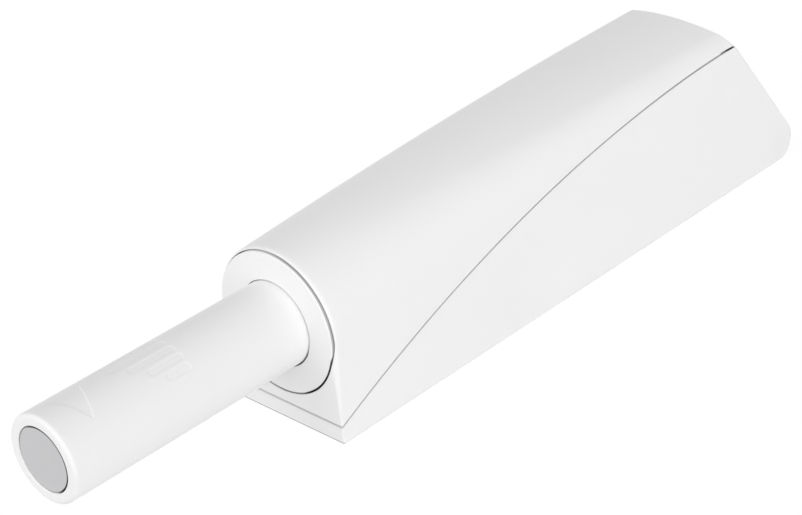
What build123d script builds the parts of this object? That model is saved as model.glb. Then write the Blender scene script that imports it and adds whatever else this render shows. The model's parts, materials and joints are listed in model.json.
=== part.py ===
from build123d import *
import math
import os

# A push to open catch in its screw-on housing, in millimetres.
# The origin is the middle of the two screw holes, on the underside. +X is the way the plunger comes out.
# Inside the functions x is measured from the front face. Every piece is moved to the origin as it is written.
# Sizes with no formula are set here. Those with a formula follow them.

# ---- Clearances ----
RUNNING_CLEARANCE = 0.05  # between pieces that turn or slide on each other
SLIDE_CLEARANCE = 0.1  # round the carriage and the loose inner rings
STOP_CLEARANCE = 0.4  # left at the end of a stroke
COIL_CLEARANCE = 0.3  # round the spring, and round the rod in it
CUT = 1.0  # how far a cutting body runs past what it cuts

# ---- Screw holes ----
SCREW_PITCH = 64.0
SCREW_INSET = 15.0  # from the front face to the first hole
SCREW_HOLE_RADIUS = 1.9
SCREW_HEAD_RADIUS = 3.6
SCREW_BOSS_WALL = 1.0
SCREW_BOSS_RADIUS = SCREW_HEAD_RADIUS + SCREW_BOSS_WALL
SCREW_LAND = 1.7  # straight wall under the countersink
SCREW_BOSS_HEIGHT = SCREW_LAND + SCREW_HEAD_RADIUS - SCREW_HOLE_RADIUS  # a 90 degree countersink

# ---- Strokes ----
TRAVEL = 34.0
LATCH_REBOUND = 1.5  # how far the plunger springs back onto the heart
ADJUST_BACK = 1.0
ADJUST_FORWARD = 3.0

# ---- Plunger ----
PLUNGER_RADIUS = 5.57
PLUNGER_WALL = 0.82
PLUNGER_BORE = PLUNGER_RADIUS - PLUNGER_WALL
SHOULDER_STEP = 0.55
SHOULDER_BORE = PLUNGER_BORE - SHOULDER_STEP
TIP_STANDS_OUT = 1.77  # what is left in front of the face with the plunger pushed in
PLUNGER_REACH = TRAVEL + TIP_STANDS_OUT
PARTITION_THICKNESS = 2.0
CORE_BORE = 3.0
TIP_ROUND = 0.5
TIP_INNER_ROUND = 0.15

# ---- Magnet tip ----
DISC_RADIUS = 4.04
DISC_THICKNESS = 1.0
DISC_RECESS = 0.08
DISC_GAP = 0.08
MAGNET_POCKET_RADIUS = DISC_RADIUS + DISC_GAP
CUP_STEP = 0.04
CUP_RADIUS = DISC_RADIUS - CUP_STEP
CUP_WALL = 0.5
CUP_FLOOR = 0.6
MAGNET_LENGTH = 5.4
CUSHION_THICKNESS = 1.5
DISC_BACK = PLUNGER_REACH - DISC_RECESS - DISC_THICKNESS
CUP_BACK = DISC_BACK - MAGNET_LENGTH - CUP_FLOOR
MAGNET_POCKET_START = CUP_BACK - CUSHION_THICKNESS

# ---- Plunger marks: an arrowhead round the tube and a scale of bars along it, placed from the tip ----
MARK_DEPTH = 0.12
BAR_COUNT = 5
BAR_WIDTH = 1.0
BAR_SHORTEST = 3.5
BAR_STEP = 1.6
BAR_SETBACK = 19.07
BAR_REAR_END = PLUNGER_REACH - BAR_SETBACK
BAR_FIRST_ANGLE = 47.0  # degrees from +Y towards +Z
BAR_ANGLE_STEP = 15.6
ARROW_SETBACK = 4.97
ARROW_X = PLUNGER_REACH - ARROW_SETBACK
ARROW_HALF_WIDTH = 2.2
ARROW_LENGTH = 5.2
ARROW_ANGLE = 76.0

# ---- Cartridge barrel ----
FRONT_BUFFER_GAP = 0.33  # round the plunger
FRONT_BUFFER_LAND = 1.2
FRONT_BUFFER_BORE = PLUNGER_RADIUS + FRONT_BUFFER_GAP
BARREL_WALL = 1.0
BARREL_BORE = FRONT_BUFFER_BORE + FRONT_BUFFER_LAND + SLIDE_CLEARANCE
BARREL_RADIUS = BARREL_BORE + BARREL_WALL
COLLAR_STEP = 1.07
COLLAR_RADIUS = BARREL_RADIUS + COLLAR_STEP
COLLAR_THICKNESS = 2.9
COLLAR_GAP = 0.13
COLLAR_CHAMFER = 0.15
LIP = 1.0
LIP_CLEARANCE = 0.09
KEYWAY_DEPTH = 0.6
KEY_HALF_WIDTH = 1.0
CLIP_GROOVE_DEPTH = 0.3

# ---- Front bush and buffer ----
BUSH_WALL = 0.98
BUSH_LENGTH = 5.0
BUSH_RADIUS = PLUNGER_RADIUS + RUNNING_CLEARANCE + BUSH_WALL
FRONT_WALL = LIP + BUSH_LENGTH
FRONT_BUFFER_THICKNESS = 1.2

# ---- Latch: a wire follower on the carriage and a cam plate in the barrel. Heights are above the axis ----
CARRIAGE_FRONT = FRONT_WALL + FRONT_BUFFER_THICKNESS + RUNNING_CLEARANCE
CARRIAGE_RADIUS = BARREL_BORE - SLIDE_CLEARANCE
CARRIAGE_FLAT_DEPTH = 1.65
CARRIAGE_FLAT = CARRIAGE_RADIUS - CARRIAGE_FLAT_DEPTH
PIVOT_SETBACK = 5.75
PIVOT_X = CARRIAGE_FRONT + PIVOT_SETBACK
FOLLOWER_REACH = 17.0
FOLLOWER_RADIUS = 0.4
FOLLOWER_BEND = 0.7
FOLLOWER_ARM_DEPTH = 0.7
FOLLOWER_ARM_HEIGHT = CARRIAGE_FLAT - FOLLOWER_ARM_DEPTH
FOLLOWER_PIVOT_DEPTH = 3.2
LANE_OFFSET = 1.37
FOLLOWER_TIP_X = PIVOT_X + FOLLOWER_REACH
CAM_CLEARANCE = 0.15
CAM_UNDERSIDE = CARRIAGE_FLAT + CAM_CLEARANCE
CAM_CHANNEL_DEPTH = 1.0
CAM_CHANNEL_TOP = CAM_UNDERSIDE + CAM_CHANNEL_DEPTH
CAM_LANE_ROOM = 0.33  # beside the follower, to the channel's wall
CAM_CHANNEL_HALF = LANE_OFFSET + FOLLOWER_RADIUS + CAM_LANE_ROOM
FOLLOWER_TIP_CLEARANCE = 0.2
FOLLOWER_TIP_HEIGHT = CAM_CHANNEL_TOP - FOLLOWER_TIP_CLEARANCE
CAM_FRONT_MARGIN = 0.6
CAM_REAR_MARGIN = 1.2
CAM_END_WALL = 1.9
CAM_CHANNEL_FRONT = FOLLOWER_TIP_X - FOLLOWER_RADIUS - CAM_FRONT_MARGIN
CAM_CHANNEL_REAR = FOLLOWER_TIP_X + TRAVEL + FOLLOWER_RADIUS + CAM_REAR_MARGIN
HEART_CLEARANCE = 0.22
HEART_HALF_WIDTH = LANE_OFFSET - FOLLOWER_RADIUS - HEART_CLEARANCE
HEART_LENGTH = 7.0
HEART_NOTCH = 0.7
CAM_LUG_LENGTH = 4.0
CAM_LUG_HALF_WIDTH = 1.5
CAM_LUG_DEPTH = 0.2  # below the barrel's surface
CAM_LUG_TOP = BARREL_RADIUS - CAM_LUG_DEPTH
CAM_LUG_X = (CAM_CHANNEL_FRONT + CAM_CHANNEL_REAR) / 2

# ---- Leaf spring under the follower ----
LEAF_THICKNESS = 0.2
LEAF_WIDTH = 2.0
LEAF_LEAD = 0.9  # in front of the pivot
LEAF_FLAT = 1.4  # behind the pivot, to the bend
LEAF_RAMP = 1.8
LEAF_FRONT = PIVOT_X - LEAF_LEAD
LEAF_BEND = PIVOT_X + LEAF_FLAT
LEAF_BACK = LEAF_BEND + LEAF_RAMP
LEAF_END_ROOM = 0.3
LEAF_POCKET_BACK = LEAF_BACK + LEAF_END_ROOM
LEAF_TOP = FOLLOWER_ARM_HEIGHT - FOLLOWER_RADIUS - RUNNING_CLEARANCE
LEAF_HOLE_GAP = 0.2
LEAF_HOLE = FOLLOWER_RADIUS + LEAF_HOLE_GAP

# ---- Turn-to-adjust parts ----
CLICK_START = 11.6
CLICK_LENGTH = 2.8
WASHER_THICKNESS = 0.35
CIRCLIP_THICKNESS = 0.6
CIRCLIP_DEPTH = 0.3
CIRCLIP_OPENING = 50.0  # degrees
CIRCLIP_BACK = CLICK_START - WASHER_THICKNESS - CIRCLIP_THICKNESS
SHOULDER_START = CLICK_START + CLICK_LENGTH + RUNNING_CLEARANCE

# ---- Carriage ----
CARRIAGE_TAIL = 4.3
CARRIAGE_REAR = FOLLOWER_TIP_X + CARRIAGE_TAIL
ARM_FLOOR_GAP = 0.4
ARM_SLOT_FLOOR = FOLLOWER_ARM_HEIGHT - FOLLOWER_RADIUS - ARM_FLOOR_GAP
ARM_SLOT_LEAD = 1.0
ARM_SLOT_FRONT = PIVOT_X - ARM_SLOT_LEAD
ARM_SLOT_FRONT_GAP = 0.35
ARM_SLOT_FRONT_HALF = FOLLOWER_RADIUS + ARM_SLOT_FRONT_GAP
ARM_SLOT_REAR_GAP = 0.63
ARM_SLOT_REAR_HALF = LANE_OFFSET + FOLLOWER_RADIUS + ARM_SLOT_REAR_GAP
LEAF_POCKET_DEPTH = 0.75
LEAF_POCKET_FLOOR = ARM_SLOT_FLOOR - LEAF_POCKET_DEPTH
NOSE_RADIUS = PLUNGER_BORE - RUNNING_CLEARANCE
NOSE_END = CIRCLIP_BACK - ADJUST_BACK - STOP_CLEARANCE
KEY_NOSE_GAP = 0.3
KEY_NOSE_RADIUS = SHOULDER_BORE - KEY_NOSE_GAP
KEY_NOSE_FLAT_DEPTH = 0.6
KEY_NOSE_FLAT = KEY_NOSE_RADIUS - KEY_NOSE_FLAT_DEPTH
KEY_HOLD = 1.6  # how much of the click ring is still on the key with the tip turned right out
KEY_NOSE_END = CLICK_START + ADJUST_FORWARD + KEY_HOLD
NOSE_CORE_RADIUS = 2.2
PIVOT_BLOCK = 4.0  # solid in front of and behind the pivot
NOSE_CORE_BACK = PIVOT_X - PIVOT_BLOCK
SPRING_SEAT = PIVOT_X + PIVOT_BLOCK
SPRING_COVER = 0.45  # over the spring, under the arm's slot
SPRING_BORE = ARM_SLOT_FLOOR - SPRING_COVER
INNER_RING_GAP = 0.15
INNER_RING_RADIUS = KEY_NOSE_RADIUS + INNER_RING_GAP
NOSE_ROOM = 0.3
PARTITION_START = KEY_NOSE_END + ADJUST_BACK + NOSE_ROOM
PARTITION_END = PARTITION_START + PARTITION_THICKNESS
TAIL_ROOM = 1.05
PLUNGER_TAIL = CARRIAGE_FRONT - ADJUST_BACK - TAIL_ROOM  # the plunger's rear end, behind the face

# ---- Rear end of the cartridge, ejector spring and its rod ----
CAP_THICKNESS = 3.0
CAP_SPIGOT = 2.0
BUFFER_THICKNESS = 1.3
BUFFER_BORE = SPRING_BORE + COIL_CLEARANCE
BARREL_LENGTH = CARRIAGE_REAR + TRAVEL + STOP_CLEARANCE + BUFFER_THICKNESS + CAP_SPIGOT
WIRE_RADIUS = 0.35
COIL_RADIUS = SPRING_BORE - COIL_CLEARANCE - WIRE_RADIUS
COIL_TURNS = 18
ROD_RADIUS = 1.3
ROD_SEAT = 2.0  # how deep the rod sits in the cap
SEAT_WASHER_THICKNESS = 0.5
SEAT_WASHER_BORE = ROD_RADIUS + COIL_CLEARANCE
ROD_END_ROOM = 1.0
ROD_FRONT = SPRING_SEAT + TRAVEL + SEAT_WASHER_THICKNESS + ROD_END_ROOM

# ---- Housing envelope ----
BASE_WIDTH = 20.0
WALL = 1.2
FLOOR = 2.2
FACE_WALL_STEP = 0.1
FACE_WALL = COLLAR_THICKNESS + FACE_WALL_STEP
FACE_LIP = 0.2  # what is left of the face outside the collar at the top
FACE_STRIP = 1.6  # what is left of the face between the seam and the collar
AXIS_HEIGHT = FLOOR + FACE_STRIP + COLLAR_GAP + COLLAR_RADIUS  # the plunger's axis above the underside
FRONT_ARCH_RADIUS = COLLAR_RADIUS + COLLAR_GAP + FACE_LIP
FRONT_EDGE_RADIUS = 1.0
REAR_LEAN = 37.1  # degrees, from upright
REAR_ROOM = 4.4  # behind the cartridge, at its top
REAR_FOOT_RADIUS = 2.9
LEAN = math.tan(math.radians(REAR_LEAN))
LEAN_STRETCH = math.hypot(1, LEAN)
CARTRIDGE_END = BARREL_LENGTH + CAP_THICKNESS
# from the front face to where the sloping rear face would meet the underside
REAR_FOOT = CARTRIDGE_END + REAR_ROOM + LEAN * (AXIS_HEIGHT + BARREL_RADIUS) + WALL * LEAN_STRETCH
END_ROOM = 1.9
END_STATION = REAR_FOOT + END_ROOM  # past the sloping cut
LEVEL_SETBACK = 7.7
LEVEL_STATION = REAR_FOOT - LEVEL_SETBACK  # where the top runs level
LEVEL_TAPER = 0.3
LEVEL_HALF_WIDTH = FRONT_ARCH_RADIUS - LEVEL_TAPER
LEVEL_SPRING_RISE = 7.1
LEVEL_SPRING_HEIGHT = AXIS_HEIGHT + LEVEL_SPRING_RISE
LEVEL_SHOULDER_RADIUS = 3.36
SHOULDER_ANGLE = 75.0  # degrees of the section that the shoulder arc takes up

# ---- Seam between base and cover ----
SEAM_REAR_RISE = 1.07  # above the height where the rear shoulders spring
SEAM_REAR_HEIGHT = LEVEL_SPRING_HEIGHT + SEAM_REAR_RISE
SEAM_BOW = 4.64  # rise of the arc over its chord
SEAM_GAP = 0.14
TONGUE_HEIGHT = 1.2
TONGUE_CLEARANCE = 0.06
TONGUE_END_ROOM = 0.3
RELEASE_SLOT_LENGTH = 3.1
RELEASE_SLOT_HEIGHT = 0.32

# ---- Saddles and lock clip ----
SADDLE_STATIONS = (28.0, 50.0, 66.0)
SADDLE_THICKNESS = 1.8
SADDLE_HALF_WIDTH = 6.4
SADDLE_DROP = 3.5  # from the axis to the saddles' tops
SADDLE_TOP = AXIS_HEIGHT - SADDLE_DROP
SADDLE_ROOT = 0.5  # how far a saddle is sunk into the floor, to be one with it
LOCK_CLIP_STATION = 58.0
LOCK_CLIP_WIDTH = 4.0
LOCK_CLIP_THICKNESS = 0.35
LOCK_CLIP_OPENING = 110.0  # degrees, at the bottom

SIDE_REACH = 60.0  # larger than the part, for cutting bodies
FACE_X = SCREW_INSET + SCREW_PITCH / 2


def rod(x0, x1, radius):
    """A cylinder on the plunger's axis."""
    return Pos((x0 + x1) / 2, 0, AXIS_HEIGHT) * Rot(0, 90, 0) * Cylinder(radius, abs(x1 - x0))


def ring(x0, x1, outer, inner):
    """A tube on the plunger's axis."""
    return rod(x0, x1, outer) - rod(x0 - CUT, x1 + CUT, inner)


def block(x0, x1, y0, y1, z0, z1):
    """A box between two corners."""
    size = Box(abs(x1 - x0), abs(y1 - y0), abs(z1 - z0))
    return Pos((x0 + x1) / 2, (y0 + y1) / 2, (z0 + z1) / 2) * size


def side_prism(curve, half_width):
    """A closed outline in the X-Z plane, thickened both ways along Y."""
    return extrude(Plane.XZ * make_face(curve), amount=half_width, both=True)


# ---------------------------------------------------------------- housing


def along_housing(front, level, station):
    """A size at a station, on a parabola from its value at the face to where the top runs level."""
    share = station / LEVEL_STATION
    return front + (level - front) * share * (2 - share)


def arch_section(station, inset):
    """Cross-section of the housing: straight drafted sides, shoulder arcs and a crown arc, all tangent."""
    half_base = BASE_WIDTH / 2 - inset
    half_width = along_housing(FRONT_ARCH_RADIUS, LEVEL_HALF_WIDTH, station) - inset
    spring = along_housing(AXIS_HEIGHT, LEVEL_SPRING_HEIGHT, station)
    shoulder = along_housing(FRONT_ARCH_RADIUS, LEVEL_SHOULDER_RADIUS, station) - inset
    centre_y = half_width - shoulder
    reach = math.hypot(half_base - centre_y, spring)
    draft = math.acos(shoulder / reach) + math.atan2(-spring, half_base - centre_y)
    top = math.radians(SHOULDER_ANGLE)
    crown = shoulder + centre_y / math.cos(top)
    crest = spring - centre_y * math.tan(top) + crown

    def on_shoulder(turn):
        return centre_y + shoulder * math.cos(turn), spring + shoulder * math.sin(turn)

    def flipped(point):
        return -point[0], point[1]

    low, mid, high = (on_shoulder(turn) for turn in (draft, (draft + top) / 2, top))
    foot = half_base + (half_base - low[0]) / low[1] * CUT, -CUT
    outline = Curve() + [
        Line(flipped(foot), foot),
        Line(foot, low),
        ThreePointArc(low, mid, high),
        ThreePointArc(high, (0, crest), flipped(high)),
        ThreePointArc(flipped(high), flipped(mid), flipped(low)),
        Line(flipped(low), flipped(foot)),
    ]
    plane = Plane(origin=(-station, 0, 0), x_dir=(0, 1, 0), z_dir=(1, 0, 0))
    return plane * make_face(outline)


def arch_body(inset):
    """The long arched form, drawn in by inset all round and carried below the underside."""
    return loft([arch_section(station, inset) for station in (0, END_STATION / 2, END_STATION)])


def rear_face_x(height, inset=0.0):
    """Where the sloping rear face is at a height."""
    return LEAN * height - REAR_FOOT + inset * LEAN_STRETCH


def side_outline(inset):
    """The housing's outline from the side, with the rounded lower rear corner."""
    low, front = (FLOOR, -FACE_WALL) if inset else (0.0, 0.0)
    high = SIDE_REACH / 2
    corners = [(front, low), (front, high), (rear_face_x(high, inset), high), (rear_face_x(low, inset), low)]
    face = Plane.XZ * Polygon(*corners, align=None)
    foot = face.vertices().sort_by(Axis.X)[0]
    face = fillet(foot, REAR_FOOT_RADIUS - inset)
    return extrude(face, amount=SIDE_REACH, both=True)


def below_seam(raised):
    """Everything under the seam, with the seam lifted by raised."""
    start = Vector(0, FLOOR + raised)
    end = Vector(rear_face_x(SEAM_REAR_HEIGHT), SEAM_REAR_HEIGHT + raised)
    chord = end - start
    normal = Vector(chord.Y, -chord.X).normalized()
    middle = (start + end) * 0.5 + normal * SEAM_BOW
    outline = Curve() + [
        ThreePointArc(start, middle, end),
        Polyline(
            end,
            (-SIDE_REACH * 2, end.Y),
            (-SIDE_REACH * 2, -CUT),
            (SIDE_REACH, -CUT),
            (SIDE_REACH, start.Y),
            start,
        ),
    ]
    return side_prism(outline, SIDE_REACH)


def cavity():
    """The hollow inside the housing."""
    return arch_body(WALL) & side_outline(WALL)


def shell():
    """The whole housing wall, before it is split at the seam."""
    outside = arch_body(0) & side_outline(0)
    front = outside.faces().sort_by(Axis.X)[-1].edges()
    return fillet(front.sort_by(Axis.Z)[1:], FRONT_EDGE_RADIUS) - cavity()


def tongue_band(clearance):
    """The inner half of the wall, where the base stands up behind the cover."""
    return (arch_body(WALL / 2 - clearance) & side_outline(WALL)) - arch_body(WALL)


def release_slots():
    """The gap at each side, at the rear end of the seam, that a blade fits into."""
    end = rear_face_x(SEAM_REAR_HEIGHT)
    low, high = SEAM_REAR_HEIGHT, SEAM_REAR_HEIGHT + RELEASE_SLOT_HEIGHT
    return block(end - CUT, end + RELEASE_SLOT_LENGTH, -BASE_WIDTH, BASE_WIDTH, low, high)


def saddle(station):
    """A rib that the barrel lies in."""
    x0, x1 = -station - SADDLE_THICKNESS / 2, -station + SADDLE_THICKNESS / 2
    rib = block(x0, x1, -SADDLE_HALF_WIDTH, SADDLE_HALF_WIDTH, FLOOR - SADDLE_ROOT, SADDLE_TOP)
    return rib - rod(x0 - CUT, x1 + CUT, BARREL_RADIUS)


def screw_stations():
    """Where the two screw holes are along the housing."""
    return (-SCREW_INSET, -SCREW_INSET - SCREW_PITCH)


def base_cradle():
    """The lower shell: cheeks, floor, sloping rear wall, screw bosses and the saddles under the barrel."""
    base = shell() & below_seam(0)
    x0 = rear_face_x(SEAM_REAR_HEIGHT) + RELEASE_SLOT_LENGTH + TONGUE_END_ROOM
    x1 = -FACE_WALL - TONGUE_END_ROOM
    tongue = tongue_band(0) & below_seam(TONGUE_HEIGHT)
    tongue -= below_seam(-WALL)
    tongue &= block(x0, x1, -BASE_WIDTH, BASE_WIDTH, FLOOR, SEAM_REAR_HEIGHT + TONGUE_HEIGHT)
    base += tongue
    for station in SADDLE_STATIONS:
        base += saddle(station)
    for x in screw_stations():
        base += Pos(x, 0, SCREW_BOSS_HEIGHT / 2) * Cylinder(SCREW_BOSS_RADIUS, SCREW_BOSS_HEIGHT)
        base -= Pos(x, 0, SCREW_BOSS_HEIGHT / 2) * Cylinder(SCREW_HOLE_RADIUS, SCREW_BOSS_HEIGHT + 2 * CUT)
        sink = SCREW_BOSS_HEIGHT - SCREW_LAND
        base -= Pos(x, 0, SCREW_LAND + sink / 2) * Cone(SCREW_HOLE_RADIUS, SCREW_HEAD_RADIUS, sink)
    return base


def cover_shell():
    """The arched upper shell, with the opening that the barrel's collar fills."""
    cover = shell() - below_seam(SEAM_GAP)
    groove = tongue_band(TONGUE_CLEARANCE) & below_seam(TONGUE_HEIGHT + SEAM_GAP)
    cover -= groove
    cover -= rod(-FACE_WALL - CUT, CUT, COLLAR_RADIUS + COLLAR_GAP)
    cover -= release_slots()
    return cover


# -------------------------------------------------------------- cartridge


def barrel():
    """The cartridge's sleeve. Its collar is the ring round the plunger in the front face."""
    body = rod(-BARREL_LENGTH, 0, BARREL_RADIUS) + rod(-COLLAR_THICKNESS, 0, COLLAR_RADIUS)
    rim = body.edges().filter_by(GeomType.CIRCLE).group_by(Axis.X)[-1].sort_by(SortBy.RADIUS)[-1]
    body = chamfer(rim, COLLAR_CHAMFER)
    body -= rod(-FRONT_WALL, CUT, PLUNGER_RADIUS + LIP_CLEARANCE)
    body -= rod(-FRONT_WALL, -LIP, BUSH_RADIUS)
    body -= rod(-BARREL_LENGTH - CUT, -FRONT_WALL, BARREL_BORE)
    half = KEY_HALF_WIDTH + SLIDE_CLEARANCE
    keyway = BARREL_BORE + KEYWAY_DEPTH
    rear = BARREL_LENGTH - CAP_SPIGOT
    start = FRONT_WALL + FRONT_BUFFER_THICKNESS
    body -= block(-rear, -start, -keyway, keyway, AXIS_HEIGHT - half, AXIS_HEIGHT + half)
    lug = CAM_LUG_HALF_WIDTH + RUNNING_CLEARANCE
    reach = CAM_LUG_LENGTH / 2 + RUNNING_CLEARANCE
    above = AXIS_HEIGHT + BARREL_RADIUS + CUT
    body -= block(-CAM_LUG_X - reach, -CAM_LUG_X + reach, -lug, lug, AXIS_HEIGHT, above)
    groove = LOCK_CLIP_WIDTH / 2 + RUNNING_CLEARANCE
    x0, x1 = -LOCK_CLIP_STATION - groove, -LOCK_CLIP_STATION + groove
    body -= ring(x0, x1, BARREL_RADIUS + CUT, BARREL_RADIUS - CLIP_GROOVE_DEPTH) & block(
        x0, x1, -SIDE_REACH, SIDE_REACH, 0, SIDE_REACH
    )
    return body


def guide_bush():
    """The bearing that the plunger slides in."""
    return ring(-FRONT_WALL, -LIP, BUSH_RADIUS, PLUNGER_RADIUS + RUNNING_CLEARANCE)


def front_buffer():
    """Stops the carriage softly at the end of its way out."""
    back = -FRONT_WALL - FRONT_BUFFER_THICKNESS
    return ring(back, -FRONT_WALL, BARREL_BORE - SLIDE_CLEARANCE, FRONT_BUFFER_BORE)


def rear_cap():
    """Closes the barrel and holds the spring's rod."""
    cap = rod(-CARTRIDGE_END, -BARREL_LENGTH, BARREL_RADIUS)
    cap += rod(-BARREL_LENGTH, -BARREL_LENGTH + CAP_SPIGOT, BARREL_BORE)
    return cap - rod(-BARREL_LENGTH - ROD_SEAT, -BARREL_LENGTH + CAP_SPIGOT + CUT, ROD_RADIUS)


def spring_rod():
    """Keeps the squeezed spring straight."""
    return rod(-BARREL_LENGTH - ROD_SEAT, -ROD_FRONT, ROD_RADIUS)


def rear_buffer():
    """Stops the carriage softly at the end of its way in."""
    back = -BARREL_LENGTH + CAP_SPIGOT
    return ring(back, back + BUFFER_THICKNESS, BARREL_BORE - SLIDE_CLEARANCE, BUFFER_BORE)


def ejector_spring():
    """The long spring that pushes the plunger out."""
    back = -BARREL_LENGTH + CAP_SPIGOT + WIRE_RADIUS
    front = -SPRING_SEAT - SEAT_WASHER_THICKNESS - WIRE_RADIUS
    length = front - back
    path = Helix(pitch=length / COIL_TURNS, height=length, radius=COIL_RADIUS)
    profile = Plane(origin=path @ 0, z_dir=path % 0) * Circle(WIRE_RADIUS)
    coil = sweep(profile, path=path, is_frenet=True)
    return Pos(back, 0, AXIS_HEIGHT) * Rot(0, 90, 0) * coil


def lock_clip():
    """An open steel band that holds the barrel in its groove."""
    x0, x1 = -LOCK_CLIP_STATION - LOCK_CLIP_WIDTH / 2, -LOCK_CLIP_STATION + LOCK_CLIP_WIDTH / 2
    inner = BARREL_RADIUS - CLIP_GROOVE_DEPTH
    band = ring(x0, x1, inner + LOCK_CLIP_THICKNESS, inner)
    half = math.tan(math.radians(LOCK_CLIP_OPENING / 2)) * SIDE_REACH
    wedge = Plane.YZ * Polygon((0, 0), (-half, -SIDE_REACH), (half, -SIDE_REACH), align=None)
    return band - Pos(-LOCK_CLIP_STATION, 0, AXIS_HEIGHT) * extrude(wedge, amount=LOCK_CLIP_WIDTH, both=True)


# ------------------------------------------------------------------ latch


def heart():
    """The block that the follower goes round, with the notch it rests in."""
    notch = FOLLOWER_TIP_X + TRAVEL - LATCH_REBOUND - FOLLOWER_RADIUS
    points = [
        (-notch + HEART_LENGTH, 0),
        (-notch + HEART_LENGTH / 2, HEART_HALF_WIDTH),
        (-notch - HEART_NOTCH, HEART_HALF_WIDTH),
        (-notch, 0),
        (-notch - HEART_NOTCH, -HEART_HALF_WIDTH),
        (-notch + HEART_LENGTH / 2, -HEART_HALF_WIDTH),
    ]
    height = CAM_CHANNEL_TOP - CAM_UNDERSIDE
    return Pos(0, 0, AXIS_HEIGHT + CAM_UNDERSIDE) * extrude(Polygon(*points, align=None), amount=height)


def cam_plate():
    """The track on the barrel's ceiling that the follower runs in, with a lug through the barrel."""
    x0, x1 = -CAM_CHANNEL_REAR, -CAM_CHANNEL_FRONT
    low, top = AXIS_HEIGHT + CAM_UNDERSIDE, AXIS_HEIGHT + CAM_CHANNEL_TOP
    plate = rod(x0 - CAM_END_WALL, x1 + CAM_END_WALL, BARREL_BORE - RUNNING_CLEARANCE)
    plate &= block(-SIDE_REACH * 2, SIDE_REACH, -SIDE_REACH, SIDE_REACH, low, low + SIDE_REACH)
    plate -= block(x0, x1, -CAM_CHANNEL_HALF, CAM_CHANNEL_HALF, low - CUT, top)
    plate += heart()
    x0, x1 = -CAM_LUG_X - CAM_LUG_LENGTH / 2, -CAM_LUG_X + CAM_LUG_LENGTH / 2
    return plate + block(x0, x1, -CAM_LUG_HALF_WIDTH, CAM_LUG_HALF_WIDTH, top, AXIS_HEIGHT + CAM_LUG_TOP)


def carriage():
    """Slides in the barrel's keyways. Its nose carries the plunger and its rear end takes the spring."""
    behind = -CARRIAGE_REAR - CUT
    body = rod(-CARRIAGE_REAR, -CARRIAGE_FRONT, CARRIAGE_RADIUS)
    key = BARREL_BORE + KEYWAY_DEPTH - SLIDE_CLEARANCE
    low, high = AXIS_HEIGHT - KEY_HALF_WIDTH, AXIS_HEIGHT + KEY_HALF_WIDTH
    body += block(-CARRIAGE_REAR, -CARRIAGE_FRONT, -key, key, low, high)
    flat = AXIS_HEIGHT + CARRIAGE_FLAT
    body -= block(behind, 0, -SIDE_REACH, SIDE_REACH, flat, flat + SIDE_REACH)
    body += rod(-CARRIAGE_FRONT, NOSE_END, NOSE_RADIUS)
    nose = rod(NOSE_END, KEY_NOSE_END, KEY_NOSE_RADIUS)
    body += nose & block(0, SIDE_REACH, -KEY_NOSE_FLAT, KEY_NOSE_FLAT, 0, SIDE_REACH)
    body -= rod(-NOSE_CORE_BACK, KEY_NOSE_END + CUT, NOSE_CORE_RADIUS)
    body -= rod(behind, -SPRING_SEAT, SPRING_BORE)
    slot = Polygon(
        (-ARM_SLOT_FRONT, ARM_SLOT_FRONT_HALF),
        (behind, ARM_SLOT_REAR_HALF),
        (behind, -ARM_SLOT_REAR_HALF),
        (-ARM_SLOT_FRONT, -ARM_SLOT_FRONT_HALF),
        align=None,
    )
    body -= Pos(0, 0, AXIS_HEIGHT + ARM_SLOT_FLOOR) * extrude(slot, amount=SIDE_REACH)
    pocket = AXIS_HEIGHT + LEAF_POCKET_FLOOR
    half = LEAF_WIDTH / 2 + SLIDE_CLEARANCE
    body -= block(-LEAF_POCKET_BACK, -ARM_SLOT_FRONT, -half, half, pocket, pocket + SIDE_REACH)
    hole = FOLLOWER_PIVOT_DEPTH + RUNNING_CLEARANCE
    bottom = AXIS_HEIGHT + FOLLOWER_ARM_HEIGHT - hole
    body -= Pos(-PIVOT_X, 0, bottom + hole / 2) * Cylinder(FOLLOWER_RADIUS + RUNNING_CLEARANCE, hole)
    return body


def thrust_washer():
    """The spring's seat in the carriage."""
    back = -SPRING_SEAT - SEAT_WASHER_THICKNESS
    return ring(back, -SPRING_SEAT, SPRING_BORE - SLIDE_CLEARANCE, SEAT_WASHER_BORE)


def follower_pin():
    """A wire with both ends bent: one turns in the carriage, the other runs round the heart."""
    arm = AXIS_HEIGHT + FOLLOWER_ARM_HEIGHT
    tip_x = -PIVOT_X - math.sqrt(FOLLOWER_REACH**2 - LANE_OFFSET**2)
    path = FilletPolyline(
        (-PIVOT_X, 0, arm - FOLLOWER_PIVOT_DEPTH),
        (-PIVOT_X, 0, arm),
        (tip_x, -LANE_OFFSET, arm),
        (tip_x, -LANE_OFFSET, AXIS_HEIGHT + FOLLOWER_TIP_HEIGHT),
        radius=FOLLOWER_BEND,
    )
    profile = Plane(origin=path @ 0, z_dir=path % 0) * Circle(FOLLOWER_RADIUS)
    return sweep(profile, path=path)


def follower_spring():
    """A bent leaf that holds the follower up in its track."""
    low, high = AXIS_HEIGHT + LEAF_POCKET_FLOOR, AXIS_HEIGHT + LEAF_TOP
    outline = Polyline(
        (-LEAF_FRONT, low),
        (-LEAF_FRONT, low + LEAF_THICKNESS),
        (-LEAF_BEND, low + LEAF_THICKNESS),
        (-LEAF_BACK, high),
        (-LEAF_BACK, high - LEAF_THICKNESS),
        (-LEAF_BEND, low),
        close=True,
    )
    leaf = side_prism(outline, LEAF_WIDTH / 2)
    return leaf - Pos(-PIVOT_X, 0, low) * Cylinder(LEAF_HOLE, 2 * CUT)


# ---------------------------------------------------------------- plunger


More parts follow.
